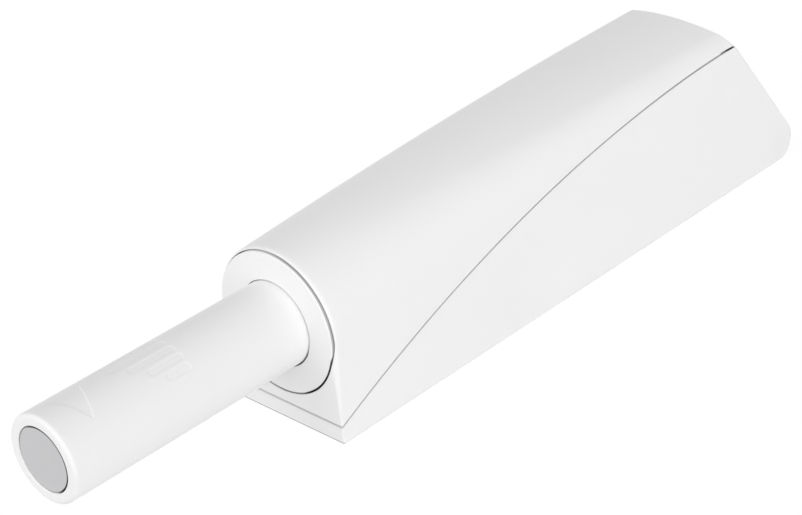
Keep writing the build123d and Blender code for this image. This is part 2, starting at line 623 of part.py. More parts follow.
def on_surface(x, angle):
    """A plane that lies on the plunger's surface, with its normal outward."""
    turn = math.radians(angle)
    outward = (0, math.cos(turn), math.sin(turn))
    origin = (x, PLUNGER_RADIUS * outward[1], AXIS_HEIGHT + PLUNGER_RADIUS * outward[2])
    return Plane(origin=origin, x_dir=(1, 0, 0), z_dir=outward)


def mark_cutters():
    """The pockets of the arrowhead and of the bars."""
    skin = ring(0, PLUNGER_REACH, PLUNGER_RADIUS + CUT, PLUNGER_RADIUS - MARK_DEPTH)
    half = ARROW_LENGTH / 2
    # on the surface plane, local Y runs round the tube towards higher angles
    head = Polygon((0, -half), (ARROW_HALF_WIDTH, half), (-ARROW_HALF_WIDTH, half), align=None)
    cutters = [extrude(on_surface(ARROW_X, ARROW_ANGLE) * head, amount=CUT, both=True) & skin]
    for i in range(BAR_COUNT):
        length = BAR_SHORTEST + BAR_STEP * i
        place = on_surface(BAR_REAR_END + length / 2, BAR_FIRST_ANGLE + BAR_ANGLE_STEP * i)
        cutters.append(extrude(place * SlotOverall(length, BAR_WIDTH), amount=CUT, both=True) & skin)
    return cutters


def plunger_tube():
    """The long round plunger, with the adjusting parts in its tail and the magnet's pocket in its tip."""
    tube = rod(-PLUNGER_TAIL, PLUNGER_REACH, PLUNGER_RADIUS)
    tube = fillet(tube.edges().filter_by(GeomType.CIRCLE).sort_by(Axis.X)[-1], TIP_ROUND)
    tube -= rod(-PLUNGER_TAIL - CUT, SHOULDER_START, PLUNGER_BORE)
    tube -= rod(0, PARTITION_START, SHOULDER_BORE)
    tube -= rod(PARTITION_END, PLUNGER_REACH, CORE_BORE)
    tube -= rod(MAGNET_POCKET_START, PLUNGER_REACH + CUT, MAGNET_POCKET_RADIUS)
    groove = CIRCLIP_BACK - RUNNING_CLEARANCE
    tube -= rod(groove, CIRCLIP_BACK + CIRCLIP_THICKNESS, PLUNGER_BORE + CIRCLIP_DEPTH)
    for cutter in mark_cutters():
        tube -= cutter
    mouth = tube.edges().filter_by(GeomType.CIRCLE).group_by(Axis.X)[-1].sort_by(SortBy.RADIUS)[0]
    return fillet(mouth, TIP_INNER_ROUND)


def strike_disc():
    """The grey steel disc that meets the strike plate."""
    return rod(DISC_BACK, DISC_BACK + DISC_THICKNESS, DISC_RADIUS)


def magnet_cup():
    """The steel cup round the magnet."""
    inside = rod(CUP_BACK + CUP_FLOOR, DISC_BACK + CUT, CUP_RADIUS - CUP_WALL)
    return rod(CUP_BACK, DISC_BACK, CUP_RADIUS) - inside


def magnet():
    """The magnet behind the disc."""
    return rod(DISC_BACK - MAGNET_LENGTH, DISC_BACK, CUP_RADIUS - CUP_WALL)


def tip_cushion():
    """Rubber behind the magnet cup."""
    return rod(MAGNET_POCKET_START, CUP_BACK, CUP_RADIUS)


def click_ring():
    """Keyed to the carriage's nose, so it slides but can't turn."""
    body = rod(CLICK_START, CLICK_START + CLICK_LENGTH, PLUNGER_BORE - RUNNING_CLEARANCE)
    half = KEY_NOSE_FLAT + RUNNING_CLEARANCE
    hole = rod(CLICK_START - CUT, CLICK_START + CLICK_LENGTH + CUT, KEY_NOSE_RADIUS + RUNNING_CLEARANCE)
    return body - (hole & block(0, SIDE_REACH, -half, half, 0, SIDE_REACH))


def wave_washer():
    """Takes up play between the click ring and the circlip."""
    outer = PLUNGER_BORE - RUNNING_CLEARANCE * 2
    return ring(CLICK_START - WASHER_THICKNESS, CLICK_START, outer, INNER_RING_RADIUS)


def circlip():
    """An open ring that keeps the click ring in the plunger."""
    x1 = CIRCLIP_BACK + CIRCLIP_THICKNESS
    outer = PLUNGER_BORE + CIRCLIP_DEPTH - RUNNING_CLEARANCE
    body = ring(CIRCLIP_BACK, x1, outer, INNER_RING_RADIUS)
    half = math.tan(math.radians(CIRCLIP_OPENING / 2)) * SIDE_REACH
    gap = Plane.YZ * Polygon((0, 0), (-half, -SIDE_REACH), (half, -SIDE_REACH), align=None)
    return body - Pos(x1, 0, AXIS_HEIGHT) * extrude(gap, amount=CIRCLIP_THICKNESS + CUT, both=True)


NODES = {
    "base_cradle": base_cradle,
    "cover_shell": cover_shell,
    "barrel": barrel,
    "guide_bush": guide_bush,
    "front_buffer": front_buffer,
    "cam_plate": cam_plate,
    "rear_cap": rear_cap,
    "spring_rod": spring_rod,
    "rear_buffer": rear_buffer,
    "ejector_spring": ejector_spring,
    "lock_clip": lock_clip,
    "carriage": carriage,
    "thrust_washer": thrust_washer,
    "follower_spring": follower_spring,
    "follower_pin": follower_pin,
    "click_ring": click_ring,
    "wave_washer": wave_washer,
    "circlip": circlip,
    "plunger_tube": plunger_tube,
    "tip_cushion": tip_cushion,
    "magnet_cup": magnet_cup,
    "magnet": magnet,
    "strike_disc": strike_disc,
}

os.makedirs("parts", exist_ok=True)
for name, make in NODES.items():
    piece = Pos(FACE_X, 0, 0) * make()
    export_step(piece, f"parts/{name}.step")
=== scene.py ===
"""Looks of a push to open catch: an arched two-part housing and a long plunger with a magnetic tip."""

import json
import math

import bmesh
import bpy
import numpy as np
from mathutils import Matrix, Vector


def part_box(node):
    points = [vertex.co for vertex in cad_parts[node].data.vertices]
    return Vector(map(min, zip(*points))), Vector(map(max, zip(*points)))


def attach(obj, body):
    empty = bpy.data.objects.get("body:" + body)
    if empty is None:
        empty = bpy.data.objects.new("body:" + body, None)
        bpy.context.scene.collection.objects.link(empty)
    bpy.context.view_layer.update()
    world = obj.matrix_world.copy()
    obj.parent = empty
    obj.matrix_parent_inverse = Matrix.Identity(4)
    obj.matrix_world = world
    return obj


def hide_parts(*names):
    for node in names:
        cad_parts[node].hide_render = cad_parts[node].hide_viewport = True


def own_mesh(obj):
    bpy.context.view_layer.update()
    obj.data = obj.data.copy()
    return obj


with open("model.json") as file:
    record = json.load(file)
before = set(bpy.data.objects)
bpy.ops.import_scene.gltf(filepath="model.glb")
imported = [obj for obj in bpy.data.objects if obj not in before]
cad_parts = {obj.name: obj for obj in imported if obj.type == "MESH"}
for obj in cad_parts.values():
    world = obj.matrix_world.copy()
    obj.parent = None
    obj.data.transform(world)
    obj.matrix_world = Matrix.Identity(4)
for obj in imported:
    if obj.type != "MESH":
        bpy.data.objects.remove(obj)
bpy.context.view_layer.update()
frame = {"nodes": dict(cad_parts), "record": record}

# Everything is in metres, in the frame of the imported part. MM turns millimetres into metres.
MM = 0.001

# ---- Places and sizes read from the frame ----
base_low, base_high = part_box("base_cradle")
barrel_low, barrel_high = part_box("barrel")
tube_low, tube_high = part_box("plunger_tube")
clip_low, clip_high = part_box("circlip")
disc_low, disc_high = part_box("strike_disc")
ring_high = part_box("click_ring")[1]
cushion_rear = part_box("tip_cushion")[0].x
nose_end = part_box("carriage")[1].x

FACE_X = base_high.x  # the housing's front face
AXIS_Z = (barrel_low.z + barrel_high.z) / 2  # the plunger's axis above the underside
BASE_WIDTH = base_high.y - base_low.y
COLLAR_RADIUS = (barrel_high.y - barrel_low.y) / 2
PLUNGER_RADIUS = (tube_high.y - tube_low.y) / 2
DISC_RADIUS = disc_high.z - AXIS_Z

# ---- Housing, with distances measured back from the front face ----
COLLAR_GAP = 0.13 * MM
OPENING_RADIUS = COLLAR_RADIUS + COLLAR_GAP
FACE_LIP = 0.2 * MM
FRONT_ARCH_RADIUS = OPENING_RADIUS + FACE_LIP
FRONT_EDGE_RADIUS = 1.0 * MM
EDGE_FOOT_SHARE = 0.2  # how much of that radius is left at the foot
WALL = 1.2 * MM
FLOOR = 2.2 * MM
FACE_WALL = 3.0 * MM
REAR_LEAN = math.tan(math.radians(37.1))
REAR_FOOT_RADIUS = 2.9 * MM
REAR_FOOT = FACE_X - base_low.x + REAR_FOOT_RADIUS * (math.hypot(1, REAR_LEAN) + REAR_LEAN - 1)
END_STATION = REAR_FOOT + 1.9 * MM
LEVEL_STATION = REAR_FOOT - 7.7 * MM  # where the top runs level
LEVEL_HALF_WIDTH = FRONT_ARCH_RADIUS - 0.3 * MM
LEVEL_SPRING_HEIGHT = AXIS_Z + 7.1 * MM
LEVEL_SHOULDER_RADIUS = 3.36 * MM
SHOULDER_TURN = math.radians(75)
SEAM_REAR_HEIGHT = LEVEL_SPRING_HEIGHT + 1.07 * MM
SEAM_BOW = 4.64 * MM
SEAM_GAP = 0.14 * MM
TONGUE_INSET = WALL / 2
TONGUE_HEIGHT = 1.2 * MM
TONGUE_FOOT = FLOOR / 2
TONGUE_CLEARANCE = 0.06 * MM
TONGUE_END_ROOM = 0.3 * MM
GROOVE_END_ROOM = 0.1 * MM
RELEASE_SLOT_LENGTH = 3.1 * MM
RELEASE_SLOT_HEIGHT = 0.2 * MM
SADDLE_STATIONS = (28 * MM, 50 * MM, 66 * MM)
SADDLE_THICKNESS = 1.8 * MM
SADDLE_HALF_WIDTH = 6.4 * MM
SADDLE_FOOT = FLOOR / 2
SADDLE_TOP = AXIS_Z - 3.5 * MM
BARREL_RADIUS = COLLAR_RADIUS - 1.07 * MM
SCREW_PITCH = 64 * MM
SCREW_HOLE_RADIUS = 1.9 * MM
SCREW_HEAD_RADIUS = 3.6 * MM
SCREW_BOSS_RADIUS = 4.6 * MM
SCREW_BOSS_FOOT = FLOOR / 3
SCREW_LAND = 1.7 * MM
SCREW_BOSS_HEIGHT = SCREW_LAND + SCREW_HEAD_RADIUS - SCREW_HOLE_RADIUS

# ---- Plunger ----
TIP_ROUND = 0.5 * MM
TIP_INNER_ROUND = 0.15 * MM
DISC_GAP = 0.08 * MM
DISC_CHAMFER = 0.13 * MM
POCKET_RADIUS = DISC_RADIUS + DISC_GAP
FIT_GAP = 0.05 * MM
CORE_BORE = 3.0 * MM
SHOULDER_STEP = 0.55 * MM
NOSE_ROOM = 1.3 * MM
PARTITION_THICKNESS = 2.0 * MM

# ---- Marks on the plunger, with angles in degrees from +Y towards +Z ----
MARK_DEPTH = 0.06 * MM
MARK_SOFTNESS = 0.1 * MM  # half the width of the slope at a mark's edge
BAR_COUNT = 5
BAR_WIDTH = 1.0 * MM
BAR_REAR_END = tube_high.x - 19.07 * MM
BAR_SHORTEST = 3.5 * MM
BAR_STEP = 1.6 * MM
BAR_FIRST_ANGLE = 47.0
BAR_ANGLE_STEP = 15.6
ARROW_X = tube_high.x - 4.97 * MM
ARROW_HALF_WIDTH = 2.2 * MM
ARROW_LENGTH = 5.2 * MM
ARROW_ANGLE = 76.0

# ---- How finely the forms are stepped ----
MARK_STEP = 0.08 * MM  # spacing of the plunger's points in the field that holds the marks
MARK_FIELD_FRONT = tube_high.x - 2.4 * MM
MARK_FIELD_REAR = BAR_REAR_END - 0.3 * MM
MARK_FIELD_ANGLES = (28, 122)
COARSE_TURN = 3  # degrees between the plunger's points outside that field
LEAST_TURN = 1  # degrees that the step back to the first point keeps at least
TAIL_STEPS = 24
TIP_STEPS = 13
INNER_ROUND_STEPS = 9
FRONT_EDGE_STEPS = 13
LENGTH_STEPS = 90
SIDE_STEPS = 15
SHOULDER_STEPS = 41
CROWN_STEPS = 15
REAR_FOOT_STEPS = 33
SEAM_STEPS = 129
CIRCLE_STEPS = 192
FINE_CIRCLE_STEPS = 256
SCREW_CIRCLE_STEPS = 96
SIDE_RUN_ON = 0.08  # share of its height that the housing's side runs on below the underside, to be cut
WELD = 0.0005 * MM  # points nearer than this become one
SHARP_ANGLE = 28  # in degrees; edges sharper than this stay hard
PLUNGER_SHARP_ANGLE = 40
BEVEL_SAMPLES = 6
PAST = 1.0 * MM  # how far a cutting body runs past what it cuts
REACH = 60 * MM  # larger than the part, for cutting bodies

# ---- Painted shade in the gaps: a shade's strength, from 0 to 1, and the two distances between which it fades ----
# The near black that painted shade darkens a colour towards.
PAINTED_SHADE_COLOUR = (0.015, 0.015, 0.015)
SEAM_SHADE = 0.22
SEAM_FADE = (0.08 * MM, 0.24 * MM)  # from the seam's middle line
SLOT_FLOOR_FADE = (-0.04 * MM, -0.01 * MM)  # from the release slot's floor
SLOT_ROOF_FADE = (0, 0.02 * MM)  # from its roof
SLOT_FRONT_FADE = (0, 0.1 * MM)  # from its front end
OPENING_RIM_FADE = (0.01 * MM, 0.04 * MM)  # from the rim of the collar's opening
OPENING_REAR_FADE = (-0.2 * MM, 0)  # from the back of the front wall
OPENING_FRONT_FADE = (-0.1 * MM, -0.01 * MM)  # from the front face
FOOT_SHADE = 0.5
FOOT_RISE_FADE = (0.08 * MM, 0.2 * MM)  # from the underside
FOOT_BACK_FADE = (-0.3 * MM, -0.1 * MM)  # from the front face
COLLAR_GREY_SHADE = 0.4
COLLAR_BLACK_WIDTH = 0.12 * MM  # how far the black reaches over the collar's edge
COLLAR_BLACK_FADE = (0.5, 1.0)  # the shades of the gap between which it starts to
COLLAR_FADE = (-0.03 * MM, -0.01 * MM)  # from the inner limit of the black
MOUTH_WIDTH = 0.1 * MM  # the gap round the plunger
MOUTH_LOW_WIDTH = 0.08 * MM  # added to it on the low side
MOUTH_FADE = (0, 0.03 * MM)  # from that gap's outer edge
MOUTH_SHADE = 0.3
MOUTH_LOW_SHADE = 0.65  # added to it on the low side
MOUTH_HIGH_SHADE = 0.4  # and on the high side
POCKET_FADE = (0.01 * MM, 0.05 * MM)  # from the wall of the pocket round the strike disc
DISC_EDGE_FADE = (-0.02 * MM, 0.02 * MM)  # from the inner edge of the disc's chamfer

# The sectors that these shades keep to: the angle that a sector faces, in degrees from +Y towards +Z, and the
# two levels of nearness between which it fades in.
COLLAR_BLACK_SECTOR = (-37, 0.9, 0.97)
COLLAR_GREY_SECTOR = (-30, 0.1, 0.4)
MOUTH_LOW_SECTOR = (-47, 0.9, 0.98)
MOUTH_HIGH_SECTOR = (140, 0.93, 0.99)
DISC_SECTOR = (30, 0.4, 0.6)

# ---- Camera ----
CAMERA_AZIMUTH = 134.334
CAMERA_ELEVATION = 29.398
CAMERA_ROLL = -3.960
CAMERA_LENS = 100.10
CAMERA_SENSOR_WIDTH = 36
CAMERA_CLIP_START = 0.01
CAMERA_DISTANCE = 271.314 * MM
CAMERA_TARGET = Vector((29.8153, 4.7723, 15.8969)) * MM

# ---- Stage ----
STAGE_SHADOW_SHARE = 0.12  # how much of the floor's own shading is seen
STAGE_GLOW = 1.05
STAGE_HALF_SIZE = 2.0
STAGE_DROP = 0.02 * MM
SKY_LEVEL = 0.39
SKY_COLOUR = (1.0, 1.0, 1.0)
LAMP_DISTANCE = 1.6
LAMP_SIZE = 1.07

# Each lamp's azimuth and elevation in degrees, and its power in watts.
LAMPS = {
    "side": (172, 6, 14.6),
    "front": (98, 6, 3.8),
    "high": (135, 45, 4.5),
    "left": (50, 15, 4.35),
    "upper_left": (60, 50, 6.15),
}


# ------------------------------------------------------------------ meshes


def make_object(name, points, faces):
    """A mesh object from an array of points and a list of faces."""
    mesh = bpy.data.meshes.new(name)
    mesh.from_pydata(points.reshape(-1, 3).tolist(), [], faces)
    mesh.update()
    thing = bpy.data.objects.new(name, mesh)
    bpy.context.scene.collection.objects.link(thing)
    return thing


def grid_faces(rows, columns):
    """The quads of a grid of points whose last column is joined to its first."""
    row, column = np.meshgrid(np.arange(rows - 1), np.arange(columns), indexing="ij")
    near, far = row * columns, (row + 1) * columns
    beside = (column + 1) % columns
    corners = [near + column, near + beside, far + beside, far + column]
    return np.stack(corners, -1).reshape(-1, 4).tolist()


def capped_faces(rows, columns):
    """The same quads, with a flat cap on the first row and on the last."""
    last = (rows - 1) * columns
    return grid_faces(rows, columns) + [list(range(columns)), list(range(last, last + columns))]


def settle(thing):
    """Puts what the modifiers make into the object's own mesh."""
    bpy.context.view_layer.update()
    graph = bpy.context.evaluated_depsgraph_get()
    mesh = bpy.data.meshes.new_from_object(thing.evaluated_get(graph))
    thing.modifiers.clear()
    thing.data = mesh
    return thing


def carve(body, tool, operation="DIFFERENCE"):
    """Cuts a body with a tool, joins the tool to it or keeps what they share. The tool is used up."""
    change = body.modifiers.new("carve", "BOOLEAN")
    change.operation = operation
    change.solver = "EXACT"
    change.object = tool
    settle(body)
    bpy.data.objects.remove(tool)
    return body


def outward(thing, weld=0):
    """Turns every face outwards, after joining the points that are nearer to each other than weld."""
    work = bmesh.new()
    work.from_mesh(thing.data)
    if weld:
        bmesh.ops.remove_doubles(work, verts=work.verts, dist=weld)
    bmesh.ops.recalc_face_normals(work, faces=work.faces)
    work.to_mesh(thing.data)
    work.free()
    return thing


def smooth(thing, angle=SHARP_ANGLE):
    """Soft shading, apart from edges sharper than the angle, with large flat faces kept flat."""
    thing.data.shade_smooth()
    thing.data.set_sharp_from_angle(angle=math.radians(angle))
    weights = thing.modifiers.new("weights", "WEIGHTED_NORMAL")
    weights.keep_sharp = True
    return settle(thing)


def turned(name, along, radius, steps, axis="X", centre=(0, 0, 0)):
    """A solid of revolution: each point of the profile, given by its place along the axis and its radius,
    is carried round a full circle. The ends of the profile are closed by flat caps."""
    turn = np.linspace(0, 2 * math.pi, steps, endpoint=False)
    along, radius = np.asarray(along, float)[:, None], np.asarray(radius, float)[:, None]
    flat = np.broadcast_to(along, (len(along), steps))
    first, second = radius * np.cos(turn), radius * np.sin(turn)
    layers = (flat, first, second) if axis == "X" else (first, second, flat)
    points = np.stack(layers, -1) + np.asarray(centre, float)
    return outward(make_object(name, points, capped_faces(len(along), steps)))


def drum(name, x0, x1, radius, steps=CIRCLE_STEPS):
    """A cylinder on the plunger's axis."""
    return turned(name, (x0, x1), (radius, radius), steps, centre=(0, 0, AXIS_Z))


def prism(name, outline, half_width):
    """A closed outline in X and Z, carried from -half_width to half_width along Y."""
    points = np.stack([np.insert(outline, 1, y, axis=1) for y in (-half_width, half_width)])
    return outward(make_object(name, points, capped_faces(2, len(outline))))


def block(name, x0, x1, half_width, z0, z1):
    """A box across the middle of the part."""
    return prism(name, np.array([(x0, z0), (x1, z0), (x1, z1), (x0, z1)]), half_width)


def smooth_copy(name, node):
    """A CAD node's form with soft shading: its loose triangles are joined and its sharp edges kept."""
    piece = bpy.data.objects.new(name, frame["nodes"][node].data.copy())
    bpy.context.scene.collection.objects.link(piece)
    return smooth(outward(piece, WELD))


# ----------------------------------------------------------------- housing


def section(turns, half_base, half_width, spring, shoulder):
    """Half of a cross-section, as Y and Z. turns from 0 to 1 goes up the straight drafted side, from 1 to 2
    round the shoulder arc and from 2 to 3 along the crown arc to the crest. All three are tangent."""
    centre = half_width - shoulder
    reach = np.hypot(half_base - centre, spring)
    draft = np.arccos(shoulder / reach) + np.arctan2(-spring, half_base - centre)
    crown = shoulder + centre / math.cos(SHOULDER_TURN)
    crown_z = spring - centre * math.tan(SHOULDER_TURN)
    side, bend, top = np.minimum(turns, 1), np.clip(turns - 1, 0, 1), np.clip(turns - 2, 0, 1)
    angle = draft + (SHOULDER_TURN - draft) * bend
    low_y, low_z = centre + shoulder * np.cos(draft), spring + shoulder * np.sin(draft)
    side_y, side_z = half_base + (low_y - half_base) * side, low_z * side
    bend_y, bend_z = centre + shoulder * np.cos(angle), spring + shoulder * np.sin(angle)
    angle = SHOULDER_TURN + (math.pi / 2 - SHOULDER_TURN) * top
    top_y, top_z = crown * np.cos(angle), crown_z + crown * np.sin(angle)
    y = np.where(turns < 1, side_y, np.where(turns < 2, bend_y, top_y))
    z = np.where(turns < 1, side_z, np.where(turns < 2, bend_z, top_z))
    return y, z


def along_housing(front, level, station):
    """A size at a station, on a parabola from its value at the face to where the top runs level."""
    share = station / LEVEL_STATION
    return front + (level - front) * share * (2 - share)


def arch(name, inset=0.0, edge_radius=0.0):
    """The long arched form. The section's sizes change along it on a parabola that levels off towards the
    rear. Near the face the section is drawn in by a quarter circle, which rounds the edge and is smaller at
    the foot."""
    quarter = np.linspace(0, math.pi / 2, FRONT_EDGE_STEPS)[:, None]
    side = np.linspace(-SIDE_RUN_ON, 1, SIDE_STEPS)
    shoulder = np.linspace(1, 2, SHOULDER_STEPS)[1:]
    crown = np.linspace(2, 3, CROWN_STEPS)[1:]
    half = np.concatenate([side, shoulder, crown])
    turns = np.concatenate([half, half[-2::-1]])[None, :]
    hand = np.concatenate([np.ones(len(half)), -np.ones(len(half) - 1)])
    along = np.repeat(np.linspace(edge_radius, END_STATION, LENGTH_STEPS)[:, None], len(hand), axis=1)
    drawn_in = np.full(along.shape, inset)
    if edge_radius:
        edge = edge_radius * np.clip(turns, EDGE_FOOT_SHARE, 1)
        along = np.concatenate([edge * (1 - np.cos(quarter)), along[1:]])
        drawn_in = np.concatenate([inset + edge * (1 - np.sin(quarter)), drawn_in[1:]])
    half_width = along_housing(FRONT_ARCH_RADIUS, LEVEL_HALF_WIDTH, along) - drawn_in
    spring = along_housing(AXIS_Z, LEVEL_SPRING_HEIGHT, along)
    shoulder_radius = along_housing(FRONT_ARCH_RADIUS, LEVEL_SHOULDER_RADIUS, along) - drawn_in
    y, z = section(turns, BASE_WIDTH / 2 - drawn_in, half_width, spring, shoulder_radius)
    points = np.stack([FACE_X - along, hand * y, z], -1)
    return outward(make_object(name, points, capped_faces(len(along), len(hand))))


def rear_face_x(height, inset=0.0):
    """Where the sloping rear face is at a height."""
    return FACE_X + REAR_LEAN * height - REAR_FOOT + inset * math.hypot(1, REAR_LEAN)


def side_view(name, inset, low, front):
    """The housing from the side: upright in front, sloping behind, with a round lower rear corner."""
    radius = REAR_FOOT_RADIUS - inset
    corner = np.array([rear_face_x(low, inset), low])
    slope = np.array([REAR_LEAN, 1]) / math.hypot(1, REAR_LEAN)
    opening = math.acos(slope[0])
    middle = slope + np.array([1, 0])
    centre = corner + middle / np.linalg.norm(middle) * radius / math.sin(opening / 2)
    turn = np.linspace(math.pi * 1.5, math.pi / 2 + opening, REAR_FOOT_STEPS)
    foot = centre + radius * np.stack([np.cos(turn), np.sin(turn)], -1)
    high = REACH / 2
    outline = np.concatenate([foot, [(rear_face_x(high, inset), high), (front, high), (front, low)]])
    return prism(name, outline, REACH)


def seam_arc(raised):
    """The seam's arc, from the foot of the face up to the rear face: its two ends, centre and radius."""
    start = np.array([FACE_X, FLOOR + raised])
    end = np.array([rear_face_x(SEAM_REAR_HEIGHT), SEAM_REAR_HEIGHT + raised])
    chord = end - start
    length = np.linalg.norm(chord)
    radius = length ** 2 / (8 * SEAM_BOW) + SEAM_BOW / 2
    across = np.array([chord[1], -chord[0]]) / length
    return start, end, (start + end) / 2 + across * (SEAM_BOW - radius), radius


def below_seam(name, raised):
    """Everything under the seam."""
    start, end, middle, radius = seam_arc(raised)
    first, last = (math.atan2(*(point - middle)[::-1]) for point in (start, end))
    turn = np.linspace(first, last, SEAM_STEPS)
    line = middle + radius * np.stack([np.cos(turn), np.sin(turn)], -1)
    rest = [(-2 * REACH, end[1]), (-2 * REACH, -PAST), (2 * REACH, -PAST), (2 * REACH, start[1])]
    return prism(name, np.concatenate([line, rest]), REACH)


def housing_wall(name):
    """The whole housing, hollow, before it is parted at the seam."""
    wall = arch(name, edge_radius=FRONT_EDGE_RADIUS)
    carve(wall, side_view("outline", 0.0, 0.0, FACE_X + PAST), "INTERSECT")
    hollow = arch("hollow", inset=WALL)
    carve(hollow, side_view("inner_outline", WALL, FLOOR, FACE_X - FACE_WALL), "INTERSECT")
    return carve(wall, hollow)


def tongue_form(name, inset, raised, end_room):
    """What stands behind the cover's edge: the inner half of the wall, up to a line above the seam."""
    form = arch(name, inset=inset)
    carve(form, below_seam("tongue_line", raised), "INTERSECT")
    x0 = rear_face_x(SEAM_REAR_HEIGHT) + RELEASE_SLOT_LENGTH + end_room
    x1 = FACE_X - FACE_WALL - end_room
    return carve(form, block("tongue_ends", x0, x1, REACH, TONGUE_FOOT, REACH), "INTERSECT")


def make_base():
    """The lower shell, with its tongue, floor, saddles and screw bosses."""
    under = below_seam("under_seam", 0.0)
    carve(under, tongue_form("tongue", TONGUE_INSET, TONGUE_HEIGHT, TONGUE_END_ROOM), "UNION")
    base = carve(housing_wall("base"), under, "INTERSECT")
    for station in SADDLE_STATIONS:
        x0, x1 = FACE_X - station - SADDLE_THICKNESS / 2, FACE_X - station + SADDLE_THICKNESS / 2
        rib = block("saddle", x0, x1, SADDLE_HALF_WIDTH, SADDLE_FOOT, SADDLE_TOP)
        carve(rib, drum("barrel_bed", x0 - PAST, x1 + PAST, BARREL_RADIUS))
        carve(base, rib, "UNION")
    heights = (-PAST, SCREW_LAND, SCREW_BOSS_HEIGHT, SCREW_BOSS_HEIGHT + PAST)
    radii = (SCREW_HOLE_RADIUS, SCREW_HOLE_RADIUS, SCREW_HEAD_RADIUS, SCREW_HEAD_RADIUS + PAST)
    rise, width = (SCREW_BOSS_FOOT, SCREW_BOSS_HEIGHT), (SCREW_BOSS_RADIUS, SCREW_BOSS_RADIUS)
    for x in (SCREW_PITCH / 2, -SCREW_PITCH / 2):
        carve(base, turned("boss", rise, width, SCREW_CIRCLE_STEPS, "Z", (x, 0, 0)), "UNION")
        carve(base, turned("screw_hole", heights, radii, SCREW_CIRCLE_STEPS, "Z", (x, 0, 0)))
    return smooth(base)


def make_cover():
    """The arched upper shell, with the opening for the barrel's collar and the release slots."""
    cover = carve(housing_wall("cover"), below_seam("seam", SEAM_GAP))
    inset = TONGUE_INSET - TONGUE_CLEARANCE
    carve(cover, tongue_form("groove", inset, TONGUE_HEIGHT + SEAM_GAP, GROOVE_END_ROOM))
    carve(cover, drum("opening", FACE_X - FACE_WALL - PAST, FACE_X + PAST, OPENING_RADIUS, FINE_CIRCLE_STEPS))
    end = rear_face_x(SEAM_REAR_HEIGHT)
    top = SEAM_REAR_HEIGHT + RELEASE_SLOT_HEIGHT
    slot = block("slot", end - PAST, end + RELEASE_SLOT_LENGTH, REACH, SEAM_REAR_HEIGHT - SEAM_GAP, top)
    return smooth(carve(cover, slot))


# ----------------------------------------------------------------- plunger


def mark_distance(x, angle):
    """How far each point of the plunger's surface is outside the nearest mark, negative inside. A bar is a
    straight line with a round nib, and the arrowhead is the space between three straight edges."""
    nearest = np.full(np.broadcast(x, angle).shape, np.inf)
    nib = BAR_WIDTH / 2
    for i in range(BAR_COUNT):
        round_tube = PLUNGER_RADIUS * np.sin(np.radians(angle - BAR_FIRST_ANGLE - BAR_ANGLE_STEP * i))
        low, high = BAR_REAR_END + nib, BAR_REAR_END + BAR_SHORTEST + BAR_STEP * i - nib
        past_end = np.maximum(np.maximum(low - x, x - high), 0)
        nearest = np.minimum(nearest, np.hypot(past_end, round_tube) - nib)
    half = ARROW_LENGTH / 2
    up, across = PLUNGER_RADIUS * np.sin(np.radians(angle - ARROW_ANGLE)), np.abs(x - ARROW_X)
    slant = math.hypot(ARROW_LENGTH, ARROW_HALF_WIDTH)
    flank = (across * ARROW_LENGTH - (up + half) * ARROW_HALF_WIDTH) / slant
    return np.minimum(nearest, np.maximum(flank, up - half))


def sunk(x, angle):
    """How deep the surface is pressed in: the full depth inside a mark, with a smooth slope at its edge, and
    nothing on the half of the tube that is turned away from the marks."""
    inside = np.clip(0.5 - mark_distance(x, angle) / (2 * MARK_SOFTNESS), 0, 1)
    marked_half = np.abs((angle - ARROW_ANGLE + 180) % 360 - 180) < 90
    return MARK_DEPTH * inside * inside * (3 - 2 * inside) * marked_half


def round_corner(x, radius, turn_from, turn_to, size, steps):
    """Points of a quarter circle in the profile, round a centre given by its place and radius."""
    turn = np.radians(np.linspace(turn_from, turn_to, steps))
    return np.stack([x + size * np.cos(turn), radius + size * np.sin(turn)], -1)


def plunger_profile():
    """The plunger's profile as places along the axis and radii, and which of its points are on the outside.
    It runs from the partition's front face, out through the magnet's pocket, over the tip, along the outside
    and back in through the tail to the partition's rear face."""
    bore = ring_high.z - AXIS_Z + FIT_GAP
    shoulder_bore = bore - SHOULDER_STEP
    groove = clip_high.z - AXIS_Z + FIT_GAP
    rear = nose_end + NOSE_ROOM
    front = rear + PARTITION_THICKNESS
    tip, tail = tube_high.x, tube_low.x
    inside_tip = [(front, 0), (front, CORE_BORE), (cushion_rear, CORE_BORE), (cushion_rear, POCKET_RADIUS)]
    inner_x, inner_radius = tip - TIP_INNER_ROUND, POCKET_RADIUS + TIP_INNER_ROUND
    mouth = round_corner(inner_x, inner_radius, 270, 360, TIP_INNER_ROUND, INNER_ROUND_STEPS)
    edge = round_corner(tip - TIP_ROUND, PLUNGER_RADIUS - TIP_ROUND, 0, 90, TIP_ROUND, TIP_STEPS)
    fine = np.arange(MARK_FIELD_FRONT, MARK_FIELD_REAR, -MARK_STEP)
    stretch = np.concatenate([fine, np.linspace(fine[-1], tail, TAIL_STEPS)[1:]])
    outside = np.stack([stretch, np.full(len(stretch), PLUNGER_RADIUS)], -1)
    inside_tail = [
        (tail, bore),
        (clip_low.x - FIT_GAP, bore),
        (clip_low.x - FIT_GAP, groove),
        (clip_high.x, groove),
        (clip_high.x, bore),
        (ring_high.x + FIT_GAP, bore),
        (ring_high.x + FIT_GAP, shoulder_bore),
        (rear, shoulder_bore),
        (rear, 0),
    ]
    profile = np.concatenate([inside_tip, mouth, edge, outside, inside_tail])
    first = len(inside_tip) + len(mouth) + len(edge)
    is_outside = np.zeros(len(profile), bool)
    is_outside[first:first + len(outside)] = True
    return profile, is_outside


